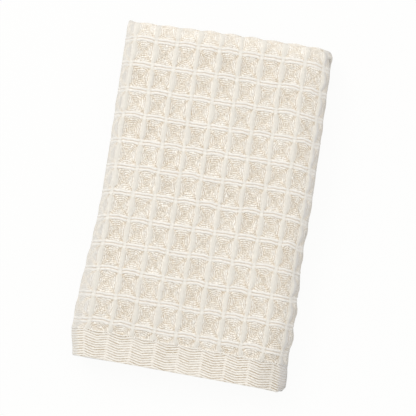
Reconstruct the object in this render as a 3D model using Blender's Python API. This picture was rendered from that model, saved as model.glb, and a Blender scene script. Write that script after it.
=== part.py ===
"""A waffle-weave washcloth, folded in thirds across, then in half, and laid flat.

Metres, +Z up. X runs across the folded cloth, +Y towards its far fold and -Y towards its hems.
The origin lies under the middle of the folded cloth, on the surface that it rests on.

The cloth is first made flat, its show side up, with every cell of the weave pressed in. It is
then folded the way a hand folds it: the two side thirds go under the middle one, and the far
half goes under the near half, so that six layers lie on each other, a little apart.
"""

import math

import bmesh
import bpy
from mathutils import Vector

MM = 0.001

# The weave: long floats make raised ribs, and each cell between them sinks to a flat floor.
CELL_ACROSS = 10.5 * MM
CELL_ALONG = 12.87 * MM
RIB_WIDTH = 2.3 * MM
WALL_RUN = 1.4 * MM
PIT_DEPTH = 0.95 * MM
FOLD_PIT_DEPTH = 0.6 * MM

# The cloth, the space between its layers, and its hems, which are woven flatter.
THICKNESS = 2.0 * MM
GAP = 0.36 * MM
HEM_LENGTH = 13.4 * MM
HEM_STEP = 0.45 * MM
HEM_STEP_RUN = 0.8 * MM

# The middle third shows these whole cells, and one part row beside each hem.
CELLS_ACROSS = 9
CELLS_ALONG = 11
UPPER_PART_ROW = 6.0 * MM
LOWER_PART_ROW = 4.6 * MM

# The side folds, by the radius of the outer face: the right one closes on the third under the
# middle one, and starts at a rib, and the left one closes on both and starts before a rib.
RIGHT_RADIUS = (2 * THICKNESS + GAP) / 2
LEFT_RADIUS = (3 * THICKNESS + 2 * GAP) / 2
LEFT_LEAD = 1.25 * MM
PANEL_WIDTH = LEFT_LEAD + CELLS_ACROSS * CELL_ACROSS
RIGHT_THIRD = 92.5 * MM
LEFT_THIRD = 93.5 * MM

# The far fold, with a rib along its outermost line and one before it.
FAR_RADIUS = 7.2 * MM
FAR_LEAD = CELL_ALONG - math.pi * FAR_RADIUS / 2
UPPER_LENGTH = HEM_LENGTH + UPPER_PART_ROW + CELLS_ALONG * CELL_ALONG + FAR_LEAD

WIDTH = PANEL_WIDTH + LEFT_RADIUS + RIGHT_RADIUS
LENGTH = UPPER_LENGTH + FAR_RADIUS
HEIGHT = 2 * FAR_RADIUS

# How the folded cloth has settled. The lower half lies further right, and the wider hems push
# the side folds out.
LOWER_SHIFT = 2.3 * MM
SHIFT_BAND = 0.26
LEFT_SPREAD = 2.9 * MM
RIGHT_SPREAD = 0.6 * MM
SPREAD_REACH = 9.0 * MM
SPREAD_RUN = 70.0 * MM
SWAY = 0.35 * MM
HEM_SKEW = 1.4 * MM
SKEW_RUN = 90.0 * MM
HEM_DROP = 0.15
DROP_RUN = 34.0 * MM
INNER_HEMS_BACK = 1.6 * MM
FAR_PUFF = 0.6 * MM
FAR_LEFT_BACK = 0.9 * MM
FAR_REACH = 14.0 * MM
CROWN = 0.05

# Each corner of the folded cloth: which side and end, how far it reaches, and how it moves.
CORNERS = [
    # name, side, end, reach across, reach along, move across, move along
    ("far left, peaked", -1, 1, 4.0 * MM, 9.0 * MM, 0.0, 1.3 * MM),
    ("far right, rounded", 1, 1, 5.5 * MM, 12.0 * MM, 0.2 * MM, -1.5 * MM),
    ("hem left, pulled in", -1, -1, 9.0 * MM, 12.0 * MM, 0.9 * MM, 0.2 * MM),
    ("hem right, turned in", 1, -1, 3.6 * MM, 5.0 * MM, -0.5 * MM, 2.0 * MM),
]


def smooth(value):
    """0 below 0, 1 above 1, and an even S between them."""
    value = min(max(value, 0.0), 1.0)
    return value * value * (3 - 2 * value)


def stations(start, runs):
    """Grid lines from start through a table of runs, each a (name, length, steps) row."""
    lines = [start]
    for _name, length, steps in runs:
        first = lines[-1]
        lines += [first + length * (step + 1) / steps for step in range(steps)]
    return lines


def lines_across():
    """Grid lines from the free edge of the left third to that of the right third."""
    runs = [
        ("left third", LEFT_THIRD, 5),
        ("left fold", math.pi * LEFT_RADIUS, 6),
        ("left lead", LEFT_LEAD, 1),
        ("whole columns", CELLS_ACROSS * CELL_ACROSS, CELLS_ACROSS),
        ("right fold", math.pi * RIGHT_RADIUS, 5),
        ("right third", RIGHT_THIRD, 5),
    ]
    return stations(-PANEL_WIDTH / 2 - math.pi * LEFT_RADIUS - LEFT_THIRD, runs)


def lines_along():
    """Grid lines from the upper hem, round the far fold, which starts at 0, to the lower hem."""
    flat_hem = HEM_LENGTH - HEM_STEP_RUN
    runs = [
        ("upper hem", flat_hem, 2),
        ("upper hem step", HEM_STEP_RUN, 1),
        ("upper part row", UPPER_PART_ROW, 1),
        ("upper rows", CELLS_ALONG * CELL_ALONG, CELLS_ALONG),
        ("upper lead", FAR_LEAD, 1),
        ("far fold", math.pi * FAR_RADIUS, 8),
        ("lower lead", FAR_LEAD, 1),
        ("lower rows", CELLS_ALONG * CELL_ALONG, CELLS_ALONG),
        ("lower part row", LOWER_PART_ROW, 1),
        ("lower hem step", HEM_STEP_RUN, 1),
        ("lower hem", flat_hem, 2),
    ]
    return stations(-UPPER_LENGTH, runs)


def grid_sheet(across, along):
    """The flat cloth's show side, at z 0, with its grid lines at these places."""
    bm = bmesh.new()
    columns, rows = len(across) - 1, len(along) - 1
    bmesh.ops.create_grid(bm, x_segments=columns, y_segments=rows, size=0.5)
    for vert in bm.verts:
        column = round((vert.co.x + 0.5) * columns)
        row = round((vert.co.y + 0.5) * rows)
        vert.co = Vector((across[column], along[row], 0.0))
    return bm


def cell_boxes():
    """The cells that show, as (x0, x1, y0, y1, depth), from rib to rib on the flat cloth."""
    first_rib = -PANEL_WIDTH / 2 + LEFT_LEAD
    columns = [first_rib + cell * CELL_ACROSS for cell in range(CELLS_ACROSS + 1)]
    left_end = -PANEL_WIDTH / 2 - math.pi * LEFT_RADIUS
    right_end = PANEL_WIDTH / 2 + math.pi * RIGHT_RADIUS
    last_rib = -FAR_LEAD
    rows = [last_rib + cell * CELL_ALONG for cell in range(-CELLS_ALONG, CELLS_ALONG + 3)]
    rows = [rows[0] - UPPER_PART_ROW] + rows + [rows[-1] + LOWER_PART_ROW]
    boxes = []
    for low, high in zip(rows, rows[1:]):
        on_fold = last_rib - 0.5 * MM < low < last_rib + 1.5 * CELL_ALONG
        depth = FOLD_PIT_DEPTH if on_fold else PIT_DEPTH
        boxes += [(x0, x1, low, high, depth) for x0, x1 in zip(columns, columns[1:])]
        boxes.append((left_end, columns[0], low, high, FOLD_PIT_DEPTH))
        boxes.append((columns[-1], right_end, low, high, FOLD_PIT_DEPTH))
    return boxes


def press_cells(bm, boxes):
    """Insets each cell by half a rib, then insets it again down its walls to its floor."""
    centres = [(face, face.calc_center_median()) for face in bm.faces if face.normal.z > 0.5]
    for x0, x1, y0, y1, depth in boxes:
        cell = [f for f, c in centres if x0 < c.x < x1 and y0 < c.y < y1]
        if depth == PIT_DEPTH:
            bmesh.ops.inset_region(bm, faces=cell, thickness=RIB_WIDTH / 2, depth=0.0)
            bmesh.ops.inset_region(bm, faces=cell, thickness=WALL_RUN, depth=-depth)
        else:
            bmesh.ops.inset_region(bm, faces=cell, thickness=RIB_WIDTH / 2, depth=-depth)


def press_hems(bm):
    """Lowers the show side of both hems."""
    far_end = max(vert.co.y for vert in bm.verts)
    near_end = min(vert.co.y for vert in bm.verts)
    band = HEM_LENGTH - HEM_STEP_RUN + 0.01 * MM
    for vert in bm.verts:
        in_band = vert.co.y - near_end < band or far_end - vert.co.y < band
        if in_band and vert.co.z > -THICKNESS / 2:
            vert.co.z -= HEM_STEP


def fold_thirds(across, depth):
    """(x, depth) of a point of the flat cloth once its side thirds are folded under."""
    side = 1 if across > 0 else -1
    radius = RIGHT_RADIUS if side > 0 else LEFT_RADIUS
    past = abs(across) - PANEL_WIDTH / 2
    if past <= 0:
        return across, depth
    angle = past / radius
    if angle < math.pi:
        reach = (radius - depth) * math.sin(angle)
        return side * (PANEL_WIDTH / 2 + reach), radius - (radius - depth) * math.cos(angle)
    return side * (PANEL_WIDTH / 2 - past + math.pi * radius), 2 * radius - depth


def fold_half(along, depth):
    """(y, z) of a point once the far half is folded under, counting y from the far fold."""
    angle = along / FAR_RADIUS
    if angle <= 0:
        return along, HEIGHT - depth
    if angle < math.pi:
        arm = FAR_RADIUS - depth
        return arm * math.sin(angle), FAR_RADIUS + arm * math.cos(angle)
    return math.pi * FAR_RADIUS - along, depth


def settle_across(x, y, z):
    """x of a point once the cloth has relaxed: the lower half's shift and the hems' spread."""
    from_hem = y + LENGTH / 2
    lower = smooth(0.5 + (0.5 - z / HEIGHT) / SHIFT_BAND)
    near_hem = smooth(1 - (from_hem - HEM_LENGTH) / SPREAD_RUN)
    right = smooth(1 - (WIDTH / 2 - x) / SPREAD_REACH)
    left = smooth(1 - (WIDTH / 2 + x) / SPREAD_REACH)
    spread = near_hem * (RIGHT_SPREAD * right - LEFT_SPREAD * left)
    sway = SWAY * math.cos(2 * math.pi * y / LENGTH)
    return x + LOWER_SHIFT * (lower - 0.5) + spread + sway


def settle_along(x, y, z):
    """y of a point once the cloth has relaxed: the hems' skew and the far fold's fullness."""
    off_centre = x / (WIDTH / 2)
    from_hem = y + LENGTH / 2
    skew = HEM_SKEW * off_centre * smooth(1 - from_hem / SKEW_RUN)
    back = INNER_HEMS_BACK * math.sin(math.pi * z / HEIGHT) * smooth(1 - from_hem / DROP_RUN)
    near_far = smooth(1 - (LENGTH / 2 - y) / FAR_REACH)
    puff = FAR_PUFF - FAR_LEFT_BACK * smooth(-off_centre)
    return y - skew + back + puff * near_far


def settle_height(x, y, z):
    """z of a point once the cloth has relaxed: fuller in the middle and flatter at the hems."""
    from_hem = y + LENGTH / 2
    crown = CROWN * math.cos(math.pi * x / WIDTH) * math.cos(math.pi * y / LENGTH)
    return z * (1 + crown - HEM_DROP * smooth(1 - from_hem / DROP_RUN))


def settle(x, y, z):
    """Where a point of the neatly folded cloth lies once the cloth has relaxed."""
    move_x, move_y = 0.0, 0.0
    for _name, side, end, reach_x, reach_y, across, along in CORNERS:
        near = smooth(1 - (WIDTH / 2 - side * x) / reach_x)
        near *= smooth(1 - (LENGTH / 2 - end * y) / reach_y)
        move_x += across * near
        move_y += along * near
    new_x = settle_across(x, y, z) + move_x
    new_y = settle_along(x, y, z) + move_y
    return Vector((new_x, new_y, settle_height(x, y, z)))


def fold(bm):
    """Folds the flat cloth, lets it settle and stands it over the origin."""
    turn_y = LENGTH / 2 - FAR_RADIUS
    middle_x = (LEFT_RADIUS - RIGHT_RADIUS) / 2
    for vert in bm.verts:
        x, depth = fold_thirds(vert.co.x, -vert.co.z)
        y, z = fold_half(vert.co.y, depth)
        vert.co = settle(x + middle_x, turn_y + y, z)
    low = Vector([min(vert.co[axis] for vert in bm.verts) for axis in range(3)])
    high = Vector([max(vert.co[axis] for vert in bm.verts) for axis in range(3)])
    middle = (low + high) / 2
    bmesh.ops.translate(bm, verts=bm.verts, vec=Vector((-middle.x, -middle.y, -low.z)))


def cotton():
    """Undyed cotton: ivory and matt."""
    material = bpy.data.materials.new("waffle_cotton")
    material.use_nodes = True
    shader = material.node_tree.nodes["Principled BSDF"]
    shader.inputs["Base Color"].default_value = (0.83, 0.77, 0.66, 1.0)
    shader.inputs["Roughness"].default_value = 0.95
    shader.inputs["Metallic"].default_value = 0.0
    return material


def build_washcloth(collection):
    """One closed solid: the whole cloth, hems included."""
    bm = grid_sheet(lines_across(), lines_along())
    bmesh.ops.solidify(bm, geom=bm.faces[:], thickness=THICKNESS)
    bm.normal_update()
    press_cells(bm, cell_boxes())
    press_hems(bm)
    fold(bm)
    bmesh.ops.recalc_face_normals(bm, faces=bm.faces)
    mesh = bpy.data.meshes.new("washcloth")
    bm.to_mesh(mesh)
    bm.free()
    mesh.shade_smooth()
    mesh.set_sharp_from_angle(angle=math.radians(30))
    washcloth = bpy.data.objects.new("washcloth", mesh)
    washcloth.data.materials.append(cotton())
    collection.objects.link(washcloth)


def main():
    for leftover in list(bpy.data.objects):
        bpy.data.objects.remove(leftover)
    collection = bpy.data.collections.new("waffle washcloth")
    bpy.context.scene.collection.children.link(collection)
    build_washcloth(collection)


main()
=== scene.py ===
# %% [markdown]
# # A folded waffle washcloth
# The frame that this lesson loads holds one plain solid: the cloth, folded, with its cells
# pressed in. Here it gets its real surface: the rounded ribs, the pits between them, the flat
# woven hems, and the cotton itself. The cloth is folded again in a far finer mesh, with the same
# sizes as the solid, and is then relaxed a little: its side folds get some slack, and each of its
# corners turns in its own way.

# %% Load the frame
import math

import bpy
import numpy as np
from mathutils import Matrix, Vector


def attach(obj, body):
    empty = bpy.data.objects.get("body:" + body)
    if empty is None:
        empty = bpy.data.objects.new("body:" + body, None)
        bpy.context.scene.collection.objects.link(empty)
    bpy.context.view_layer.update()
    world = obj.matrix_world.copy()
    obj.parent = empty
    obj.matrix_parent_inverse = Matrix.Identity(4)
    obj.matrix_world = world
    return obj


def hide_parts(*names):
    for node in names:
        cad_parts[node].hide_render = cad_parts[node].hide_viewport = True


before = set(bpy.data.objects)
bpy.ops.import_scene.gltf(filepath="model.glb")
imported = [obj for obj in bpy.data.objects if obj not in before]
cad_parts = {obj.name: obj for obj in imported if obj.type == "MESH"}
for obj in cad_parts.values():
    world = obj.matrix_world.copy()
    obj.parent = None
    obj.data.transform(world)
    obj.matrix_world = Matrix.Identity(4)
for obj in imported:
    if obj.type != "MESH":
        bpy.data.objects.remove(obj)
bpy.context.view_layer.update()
MM = 0.001

# %% [markdown]
# ## Camera
# A cloth laid on a table is looked at from nearly straight above, from the side of its hems. A
# long lens from about a metre away keeps its sides almost parallel. The camera is rolled a
# little, so the cloth leans to the right, as if it was laid down by hand. A rolled camera is
# simplest as three axes: which way is right, which way is up, and which way is back.

# %% Camera
LOOK_AT = Vector((2.54 * MM, -3.21 * MM, 14.4 * MM))
DISTANCE = 950 * MM
ELEVATION = math.radians(80)
ROLL = math.radians(8.68)
SEEN_WIDTH = 201.4 * MM
SENSOR_WIDTH = 36
NEAREST_SEEN = 10 * MM

back = Vector((0, -math.cos(ELEVATION), math.sin(ELEVATION)))
level_up = Vector((0, math.sin(ELEVATION), math.cos(ELEVATION)))
level_right = Vector((1, 0, 0))
right = level_right * math.cos(ROLL) + level_up * math.sin(ROLL)
up = level_up * math.cos(ROLL) - level_right * math.sin(ROLL)
lens = bpy.data.cameras.new("camera")
lens.sensor_width = SENSOR_WIDTH
lens.lens = SENSOR_WIDTH * DISTANCE / SEEN_WIDTH
lens.clip_start = NEAREST_SEEN
camera = bpy.data.objects.new("camera", lens)
bpy.context.scene.collection.objects.link(camera)
axes = Matrix((right, up, back)).transposed().to_4x4()
camera.matrix_world = Matrix.Translation(LOOK_AT + back * DISTANCE) @ axes
bpy.context.scene.camera = camera
print("lens, in mm:", round(lens.lens, 1))

# %% [markdown]
# ## Floor
# The floor is a pale sheet that gives off nearly all of its light itself, as a light table does,
# so the cloth's shadow on it nearly vanishes. The helper that makes its material serves the
# cloth's finishes too: it sets values on the shader's own sockets by their names.

# %% Floor
FLOOR_SIZE = 12
FLOOR_GLOW = 0.931


def new_material(name, settings):
    """A material and its shader, with these values on the shader's own sockets."""
    material = bpy.data.materials.new(name)
    material.use_nodes = True
    shader = material.node_tree.nodes["Principled BSDF"]
    for socket, value in settings.items():
        shader.inputs[socket].default_value = value
    return material, shader


bpy.ops.object.select_all(action="DESELECT")
bpy.ops.mesh.primitive_plane_add(size=FLOOR_SIZE, location=(0, 0, 0))
floor = bpy.context.object
floor.name = "floor"
paper, _ = new_material("pale paper", {
    "Base Color": (0.05, 0.05, 0.05, 1),
    "Roughness": 0.9,
    "Specular IOR Level": 0.0,
    "Emission Color": (1, 1, 0.993, 1),
    "Emission Strength": FLOOR_GLOW,
})
floor.data.materials.append(paper)
print("floor, in m:", FLOOR_SIZE, "glow:", FLOOR_GLOW)

# %% [markdown]
# ## Light
# Soft goods look soft in soft light. The sky is even and does most of the work. A wide area light
# overhead makes the top a little brighter than the sides, and a second one at the upper left
# gives each pit a shaded wall and a lit wall.

# %% Light
SKY_STRENGTH = 0.825


def softbox(name, place, size, watts, colour):
    """A square area light at a place, facing the middle of the scene."""
    lamp = bpy.data.lights.new(name, "AREA")
    lamp.energy = watts
    lamp.size = size
    lamp.color = colour
    lamp_object = bpy.data.objects.new(name, lamp)
    bpy.context.scene.collection.objects.link(lamp_object)
    aim = place.to_track_quat("Z", "Y").to_matrix().to_4x4()
    lamp_object.matrix_world = Matrix.Translation(place) @ aim
    return lamp


sky = bpy.data.worlds.new("sky")
sky.use_nodes = True
background = sky.node_tree.nodes["Background"]
background.inputs["Color"].default_value = (1, 1, 1, 1)
background.inputs["Strength"].default_value = SKY_STRENGTH
bpy.context.scene.world = sky
overhead = softbox("overhead", place=Vector((-0.1, 0.1, 1.2)), size=0.9, watts=3.0,
                   colour=(1.0, 0.99, 0.97))
key = softbox("key", place=Vector((-0.6, 0.5, 0.6)), size=0.45, watts=3.4,
              colour=(1.0, 0.99, 0.975))
bpy.context.scene.view_settings.view_transform = "Standard"
print("lights:", overhead.name, overhead.energy, "W,", key.name, key.energy, "W")

# %% [markdown]
# ## Sizes of the cloth
# The cloth is about 30 by 35 cm when it lies open. Folding in thirds and then in half gives six
# layers. The sizes below are the same as the solid's, so the fine cloth lands where it lies. The
# left fold is the wider one, because it closes on both of the other thirds. The last two numbers
# are the fine cloth's own: its ribs lie a little to the right of the solid's, and the strands of
# its upper half lie a little nearer to the hem.

# %% Sizes
CELL_ACROSS = 10.5 * MM
CELL_ALONG = 12.87 * MM
CELLS_ACROSS = 9
CELLS_ALONG = 11
THICKNESS = 2.0 * MM
GAP = 0.36 * MM
HEM_LENGTH = 13.4 * MM
UPPER_PART_ROW = 6.0 * MM
LOWER_PART_ROW = 4.6 * MM
RIGHT_RADIUS = (2 * THICKNESS + GAP) / 2
LEFT_RADIUS = (3 * THICKNESS + 2 * GAP) / 2
LEFT_LEAD = 1.25 * MM
PANEL_WIDTH = LEFT_LEAD + CELLS_ACROSS * CELL_ACROSS
RIGHT_THIRD = 92.5 * MM
LEFT_THIRD = 93.5 * MM
FAR_RADIUS = 7.2 * MM
FAR_LEAD = CELL_ALONG - math.pi * FAR_RADIUS / 2
UPPER_LENGTH = HEM_LENGTH + UPPER_PART_ROW + CELLS_ALONG * CELL_ALONG + FAR_LEAD
WIDTH = PANEL_WIDTH + LEFT_RADIUS + RIGHT_RADIUS
LENGTH = UPPER_LENGTH + FAR_RADIUS
HEIGHT = 2 * FAR_RADIUS
FIRST_RIB = -PANEL_WIDTH / 2 + LEFT_LEAD
RIB_AIM = 0.5 * MM
STRAND_AIM = -1.0 * MM
print("folded, in mm:", round(WIDTH / MM, 1), round(LENGTH / MM, 1), round(HEIGHT / MM, 1))

# %% [markdown]
# ## Grid lines
# A mesh needs most of its points where the surface turns most. Here that is on the ribs, so each
# cell gets lines close together beside its ribs and further apart over its pit. The thirds that
# lie inside the fold can't be seen, and get only a few.

# %% Grid lines
RIB_LINES_ACROSS = (0, 0.4, 0.8, 1.25, 2.0, 3.0, 4.1)
RIB_LINES_ALONG = (0, 0.31, 0.62, 0.93, 1.3, 1.9, 2.7, 3.8, 5.1)
UNDER_LINES_ALONG = (0, 0.35, 0.7, 1.2, 2.2, 4.2)
FAR_ROWS = 2
EDGE_RUN = 1.2 * MM
STITCH_RUN = 1.6 * MM
# How many lines each of the other parts gets.
STEPS = {"third": 10, "left fold": 22, "left lead": 5, "right fold": 13, "edge": 4, "band": 12,
         "stitches": 6, "part row": 11, "under part row": 8, "under band": 8}


def cell_lines(start, cells, size, near_rib):
    """Lines over some cells from start, each cell's given as mm from either of its ribs."""
    lines = []
    for cell in range(cells):
        first = start + cell * size
        offsets = [offset * MM for offset in near_rib]
        lines += [first + offset for offset in offsets] + [first + size / 2]
        lines += [first + size - offset for offset in reversed(offsets[1:])]
    return lines


def even_lines(start, length, part):
    """A part's own number of evenly spaced lines, without the one at its far end."""
    return [start + length * step / STEPS[part] for step in range(STEPS[part])]


left_edge = -PANEL_WIDTH / 2 - math.pi * LEFT_RADIUS - LEFT_THIRD
right_edge = PANEL_WIDTH / 2 + math.pi * RIGHT_RADIUS + RIGHT_THIRD
across = even_lines(left_edge, LEFT_THIRD, "third")
across += even_lines(left_edge + LEFT_THIRD, math.pi * LEFT_RADIUS, "left fold")
across += even_lines(-PANEL_WIDTH / 2, LEFT_LEAD + RIB_AIM, "left lead")
across += cell_lines(FIRST_RIB + RIB_AIM, CELLS_ACROSS, CELL_ACROSS, RIB_LINES_ACROSS)
across += even_lines(PANEL_WIDTH / 2 + RIB_AIM, math.pi * RIGHT_RADIUS - RIB_AIM, "right fold")
across += even_lines(right_edge - RIGHT_THIRD, RIGHT_THIRD, "third") + [right_edge]

upper_rows = -FAR_LEAD - CELLS_ALONG * CELL_ALONG
lower_rows = -FAR_LEAD + FAR_ROWS * CELL_ALONG
lower_part_row = lower_rows + CELLS_ALONG * CELL_ALONG
lower_band = lower_part_row + LOWER_PART_ROW
FAR_EDGE = lower_band + HEM_LENGTH
stitches = -UPPER_LENGTH + HEM_LENGTH - EDGE_RUN
part_row = stitches + STITCH_RUN
along = even_lines(-UPPER_LENGTH, EDGE_RUN, "edge")
along += even_lines(-UPPER_LENGTH + EDGE_RUN, HEM_LENGTH - 2 * EDGE_RUN, "band")
along += even_lines(stitches, STITCH_RUN, "stitches")
along += even_lines(part_row, upper_rows + STRAND_AIM - part_row, "part row")
along += cell_lines(upper_rows + STRAND_AIM, CELLS_ALONG, CELL_ALONG, RIB_LINES_ALONG)
along += cell_lines(-FAR_LEAD + STRAND_AIM, FAR_ROWS, CELL_ALONG, RIB_LINES_ALONG)
along += cell_lines(lower_rows + STRAND_AIM, CELLS_ALONG, CELL_ALONG, UNDER_LINES_ALONG)
along += even_lines(lower_part_row + STRAND_AIM, LOWER_PART_ROW - STRAND_AIM, "under part row")
along += even_lines(lower_band, HEM_LENGTH - EDGE_RUN, "under band")
along += even_lines(FAR_EDGE - EDGE_RUN, EDGE_RUN, "edge") + [FAR_EDGE]
print("lines across and along:", len(across), len(along))

# %% [markdown]
# ## The flat cloth
# The cloth starts flat, as two grids: the show side, and a coarser back a fabric's thickness
# below it. The back is hidden in the folds, so it needs few points. Bridging the two borders
# closes the slab. One grid with a Solidify modifier would give the hidden back as many faces as
# the front.

# %% Two grids, bridged
BACK_DEPTH = 1.9 * MM
BACK_EVERY_ACROSS = 4
BACK_EVERY_ALONG = 5


def grid_at(name, lines_across, lines_along, height):
    """A grid whose lines lie at these places, at one height."""
    columns, rows = len(lines_across) - 1, len(lines_along) - 1
    bpy.ops.object.select_all(action="DESELECT")
    bpy.ops.mesh.primitive_grid_add(x_subdivisions=columns, y_subdivisions=rows, size=1)
    grid = bpy.context.object
    grid.name = name
    points = np.empty(3 * len(grid.data.vertices))
    grid.data.vertices.foreach_get("co", points)
    points = points.reshape(-1, 3)
    column = np.rint((points[:, 0] + 0.5) * columns).astype(int)
    row = np.rint((points[:, 1] + 0.5) * rows).astype(int)
    points[:, 0] = np.array(lines_across)[column]
    points[:, 1] = np.array(lines_along)[row]
    points[:, 2] = height
    grid.data.vertices.foreach_set("co", points.ravel())
    return grid


back_across = across[:-1:BACK_EVERY_ACROSS] + [right_edge]
back_along = along[:-1:BACK_EVERY_ALONG] + [FAR_EDGE]
cloth = grid_at("folded_washcloth", across, along, 0)
back_side = grid_at("back_side", back_across, back_along, -BACK_DEPTH)
bpy.ops.object.mode_set(mode="EDIT")
bpy.ops.mesh.select_all(action="SELECT")
bpy.ops.mesh.flip_normals()
bpy.ops.object.mode_set(mode="OBJECT")
bpy.ops.object.select_all(action="DESELECT")
back_side.select_set(True)
cloth.select_set(True)
bpy.context.view_layer.objects.active = cloth
bpy.ops.object.join()
bpy.ops.object.mode_set(mode="EDIT")
bpy.ops.mesh.select_mode(type="EDGE")
bpy.ops.mesh.select_all(action="DESELECT")
bpy.ops.mesh.select_non_manifold()
bpy.ops.mesh.bridge_edge_loops()
bpy.ops.mesh.select_all(action="DESELECT")
bpy.ops.mesh.select_non_manifold()
bpy.ops.object.mode_set(mode="OBJECT")
open_edges = sum(edge.select for edge in cloth.data.edges)
print("faces:", len(cloth.data.polygons), "open edges:", open_edges)

# %% [markdown]
# ## Tools for gentle changes
# Nothing on a cloth starts or stops at a line, so every change here is eased: it begins and ends
# gently. The helpers below give shares from 0 to 1 that do this. The last two give fixed numbers
# that look random, so that no two places are alike and each run is the same.

# %% Eased shares and scattered numbers
def smooth(value):
    """0 below 0, 1 above 1, and an even S between them."""
    value = np.clip(value, 0.0, 1.0)
    return value * value * (3 - 2 * value)


def rise(value, start, end):
    """0 up to start and 1 from end on, where end may also lie below start."""
    return smooth((value - start) / (end - start))


def fade(distance, reach):
    """1 at no distance and 0 from its reach on."""
    return smooth(1 - distance / reach)


def within(count):
    """How far past a whole number a count is."""
    return count - np.floor(count)


def arch(count):
    """0 at each whole number and 1 half way between two."""
    return np.sin(math.pi * within(count)) ** 2


def scatter(first, second):
    """A fixed number from 0 to 1 for each pair of whole numbers, which looks random."""
    return np.modf(np.abs(np.sin(first * 12.9898 + second * 78.233) * 43758.5453))[0]


def per_line(line, place):
    """A scattered number for each line, changing smoothly from one cell to the next."""
    cell = np.floor(place)
    share = smooth(place - cell)
    return scatter(line, cell) * (1 - share) + scatter(line, cell + 1) * share


print("eased from 0 to 1:", smooth(np.linspace(0, 1, 5)))

# %% [markdown]
# ## Where each point is in the weave
# From here on the cloth's points are worked on all at once, as columns of numbers: how far
# across, how far along, and how deep in the cloth. A cell's place in the weave is a count, so a
# rib lies at every whole number. Real ribs aren't ruled lines: each bows a little between its
# crossings, by its own amount, and the last one on the right bows outwards in every cell. At the
# sides the strands are dragged a little towards the hem. All of it is put into the count itself,
# so the shape and the colours bend together.

# %% Place in the weave
# Most single numbers are shares of a cell. Pairs are where a change starts and ends, in cells.
LAST_RIB = CELLS_ACROSS
NEAR_RIB = 0.7
LAST_RIB_SHIFT = 0.07
RIB_BEFORE_SHIFT = 0.04
RIB_BOW = 0.13
LAST_RIB_BOW = 0.06
STRAND_BOW = 0.08
STRAND_SAG = 0.15
RIGHT_DRAG = 0.11
RIGHT_DRAG_COLUMNS = (8.2, 9.5)
RIGHT_DRAG_ROWS = (-10, -6)
LEFT_DRAG = 0.09
LEFT_DRAG_COLUMNS = (0.2, -0.5)
WAVER_ACROSS = (0.010, 17.3, 5.1, 2.3)
WAVER_ALONG = (0.007, 15.1, 4.3, 1.9)
RIB_SEED, STRAND_SEED = 40, 80


def waver(along, beside, size, beat, stray, slow_beat):
    """A small wave along one count, whose beat strays with the other count."""
    return size * np.sin(beat * along + stray * np.sin(slow_beat * beside))


def bowed_cells(x, y):
    """(cells across, cells along) of points of the flat cloth, with the ribs' bows in them."""
    column = (x - FIRST_RIB - RIB_AIM) / CELL_ACROSS
    row = (y + FAR_LEAD - STRAND_AIM) / CELL_ALONG
    column += (LAST_RIB_SHIFT * fade(LAST_RIB - column, NEAR_RIB)
               - RIB_BEFORE_SHIFT * fade(np.abs(column - (LAST_RIB - 1)), 1))
    rib_bow = RIB_BOW * (per_line(np.floor(row) + RIB_SEED, column) - 0.5)
    rib_bow -= LAST_RIB_BOW * fade(np.abs(column - LAST_RIB), NEAR_RIB)
    strand_bow = STRAND_BOW * (per_line(np.floor(column) + STRAND_SEED, row) - STRAND_SAG)
    dragged = RIGHT_DRAG * rise(column, *RIGHT_DRAG_COLUMNS) * rise(row, *RIGHT_DRAG_ROWS)
    dragged += LEFT_DRAG * rise(column, *LEFT_DRAG_COLUMNS)
    bowed_column = column + rib_bow * arch(row) + waver(row, column, *WAVER_ACROSS)
    bowed_row = row - strand_bow * np.sin(math.pi * within(column)) + dragged
    return bowed_column, bowed_row + waver(column, row, *WAVER_ALONG)


points = np.empty(3 * len(cloth.data.vertices))
cloth.data.vertices.foreach_get("co", points)
flat_x, flat_y, flat_z = points.reshape(-1, 3).T.copy()
cells_x, cells_y = bowed_cells(flat_x, flat_y)
from_hem = np.minimum(flat_y + UPPER_LENGTH, FAR_EDGE - flat_y)
print("cells across and along:", round(np.ptp(cells_x), 1), round(np.ptp(cells_y), 1))

# %% [markdown]
# ## The relief
# In a waffle weave some threads float over many others without being caught. Along each cell's
# sides they pull together into a smooth upright rib and a pair of thin strands that lie across
# it, and the short floats between them sink. So the relief is a rounded bowl for each cell, with
# one broad ridge on its sides and two narrow ones at its ends. Where the ribs cross, the upright
# one is pinched and the strands pass below it. No two cells are quite alike: half way between its
# crossings each rib swells to the right by its own amount, and the strand at a pit's far end
# bends down into the rib on its right.

# %% Relief of the weave
RIB_CROWN = 0.38 * MM
RIB_HALF = 0.95 * MM
RIB_SHAPE = 1.5
RIB_LEAN = 0.3 * MM
LAST_RIB_THINNER = 0.15 * MM
RIB_BULGE = 1.0 * MM
LEAST_SWELL, SWELL_RANGE, SWELL_SEED = 0.3, 1.3, 5
PINCH_REACH = 2.8 * MM
PINCH_WIDTH = 0.5
PINCH_HEIGHT = 0.4
PIT_DEPTH = 0.7 * MM
DEPTH_RANGE = 0.3
BOWL_ACROSS = (0.5 * MM, 4.9 * MM)
BOWL_ALONG = (1.0 * MM, 6.0 * MM)
STRAND_PLACE = 0.72 * MM
STRAND_HALF = 0.56 * MM
STRAND_SHAPE = 1.3
STRAND_HEIGHT = 0.9
STRAND_START = (0.1 * MM, 1.0 * MM)
STRAND_BEND = 0.9 * MM
LEAST_BEND, BEND_SEED = 0.4, 7
BEND_START = 0.68
BEND_SHAPE = 1.5
BEND_WIDENS = 0.3


def crown(distance, half_width):
    """The height of a round ridge, 1 on its middle line and 0 from its half width on."""
    return np.sqrt(np.clip(1 - (distance / half_width) ** 2, 0, 1))


def from_whole(count):
    """How far a count is from the nearest whole number."""
    return np.minimum(within(count), 1 - within(count))


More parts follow.
